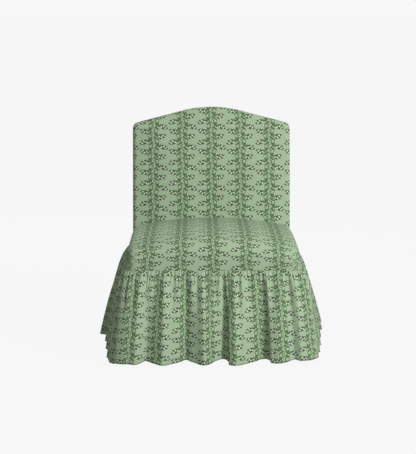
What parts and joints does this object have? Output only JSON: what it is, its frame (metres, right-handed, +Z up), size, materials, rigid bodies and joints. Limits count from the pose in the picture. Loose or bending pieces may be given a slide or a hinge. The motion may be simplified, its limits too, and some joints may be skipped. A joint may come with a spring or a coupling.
{
  "type": "slipper chair",
  "caption": "Armless slipper chair with a camel-arch back, a crowned tight seat and a gathered skirt to the floor, over a hardwood frame.",
  "frame": {"origin": "on the floor under the middle of the chair's bounding box", "axes": "+Z up, -Y towards the front of the seat, +X to the right of a viewer who faces the chair"},
  "size_m": [0.8478, 0.9003, 0.8529],
  "materials": {
    "hardwood": "sawn and planed beech",
    "leg_wood": "stained",
    "zinc_steel": "zinc plated",
    "nickel_steel": "nickel plated",
    "jute": "woven jute",
    "elastic": "ribbed elastic",
    "hessian": "open plain weave",
    "foam": "open-cell foam",
    "wadding": "soft fibre",
    "fibreboard": "pressed board",
    "dust_cloth": "black non-woven",
    "tape": "woven tape",
    "print": "printed cotton linen"
  },
  "bodies": {
    "root": {"front_seat_rail": "hardwood", "rear_seat_rail": "hardwood", "right_seat_rail": "hardwood", "left_seat_rail": "hardwood", "crest_rail": "hardwood", "lower_back_rail": "hardwood", "front_corner_blocks": "hardwood", "rear_corner_blocks": "hardwood", "right_back_upright": "hardwood", "left_back_upright": "hardwood", "front_right_leg": "leg_wood", "front_left_leg": "leg_wood", "leg_bolts": "zinc_steel", "leg_nuts": "zinc_steel", "leg_glides": "nickel_steel", "lengthwise_seat_webbing": "jute", "crosswise_seat_webbing": "jute", "back_webbing": "elastic", "seat_deck_cloth": "hessian", "seat_foam": "foam", "back_foam": "foam", "back_border_padding": "wadding", "back_board": "fibreboard", "dust_cover": "dust_cloth", "skirt_tape": "tape", "seat_cover": "print", "inside_back_cover": "print", "outside_back_cover": "print", "skirt_front": "print", "skirt_right": "print", "skirt_rear": "print", "skirt_left": "print"}
  },
  "joints": []
}
